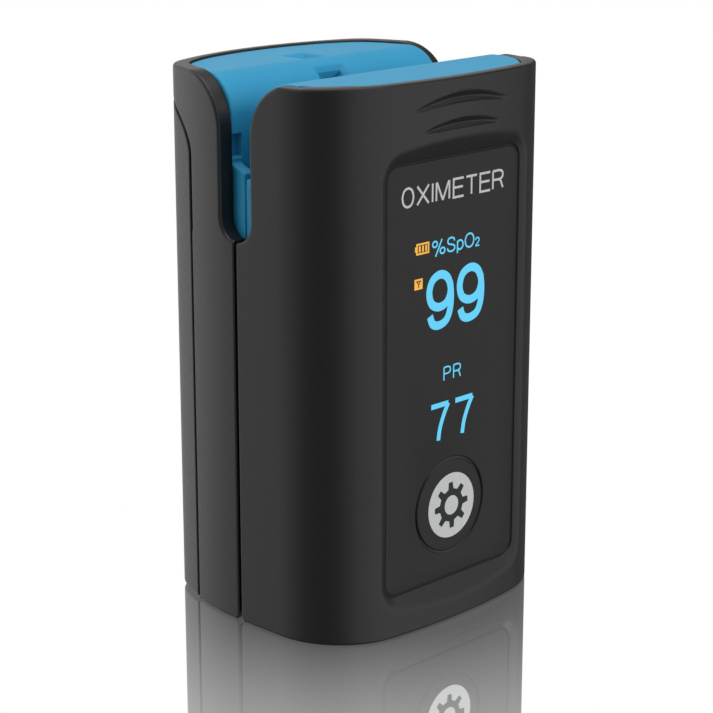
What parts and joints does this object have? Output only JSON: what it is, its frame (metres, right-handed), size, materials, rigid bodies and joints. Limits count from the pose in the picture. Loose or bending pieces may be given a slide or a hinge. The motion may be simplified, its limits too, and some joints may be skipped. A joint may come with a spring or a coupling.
{
  "type": "fingertip pulse oximeter",
  "caption": "Fingertip pulse oximeter: a hinged two-half clip with soft finger pads, a display window, a round power button and a sliding battery cover.",
  "frame": {"origin": "centre of the bounding box's bottom face, the rear end it stands on", "axes": "+Z from the rear end up to the finger mouth, -Y out of the display face, +Y out of the battery cover, +X along the hinge pin"},
  "size_m": [0.035, 0.032, 0.0585],
  "materials": {
    "shell_black": "matte",
    "button_black": "satin",
    "panel_black": "satin",
    "inner_black": "matte",
    "silicone_blue": "matte",
    "display_glass": "gloss",
    "holder_white": "matte",
    "circuit_board": "satin",
    "chip_black": "satin",
    "bright_metal": "satin",
    "clear_window": "gloss",
    "cell_jacket": "satin",
    "flex_amber": "satin"
  },
  "bodies": {
    "battery_half": {"rear_housing": "shell_black", "rear_inner_cover": "inner_black", "rear_pad": "silicone_blue", "emitter_board": "circuit_board", "emitter_led": "holder_white", "emitter_window": "clear_window", "battery_left": "cell_jacket", "battery_right": "cell_jacket", "contact_spring_left": "bright_metal", "contact_spring_right": "bright_metal", "contact_plate_left": "bright_metal", "contact_plate_right": "bright_metal", "contact_bridge": "bright_metal", "hinge_pin": "bright_metal", "torsion_spring_left": "bright_metal", "torsion_spring_right": "bright_metal", "flex_cable": "flex_amber", "rear_screw_lower_left": "bright_metal", "rear_screw_lower_right": "bright_metal", "rear_screw_upper_left": "bright_metal", "rear_screw_upper_right": "bright_metal"},
    "display_half": {"front_housing": "shell_black", "window_panel": "panel_black", "display_glass": "display_glass", "display_holder": "holder_white", "main_board": "circuit_board", "processor_chip": "chip_black", "sensor_amplifier": "chip_black", "crystal": "bright_metal", "power_coil": "chip_black", "flex_connector": "holder_white", "switch_body": "bright_metal", "front_inner_cover": "inner_black", "front_pad": "silicone_blue", "detector_board": "circuit_board", "photodiode": "chip_black", "detector_window": "clear_window", "front_screw_lower_left": "bright_metal", "front_screw_lower_right": "bright_metal", "front_screw_upper_left": "bright_metal", "front_screw_upper_right": "bright_metal"},
    "power_button": {"button_cap": "button_black", "switch_plunger": "chip_black"},
    "battery_door": {"battery_cover": "shell_black"}
  },
  "joints": [
    {"name": "jaw_hinge", "type": "hinge", "parent": "battery_half", "child": "display_half", "pos_m": [0, -0.00027, 0.0016], "axis": [1, 0, 0], "range_deg": [0, 20], "stiffness_Nm_per_rad": 0.3, "springref_deg": -20.05, "deforming": ["torsion_spring_left", "torsion_spring_right", "flex_cable"]},
    {"name": "button_press", "type": "slide", "parent": "display_half", "child": "power_button", "axis": [0, 1, 0], "range_m": [0, 0.0003], "stiffness_N_per_m": 500, "springref_m": -0.0006},
    {"name": "cover_slide", "type": "slide", "parent": "battery_half", "child": "battery_door", "axis": [0, 0, -1], "range_m": [0, 0.052]}
  ]
}
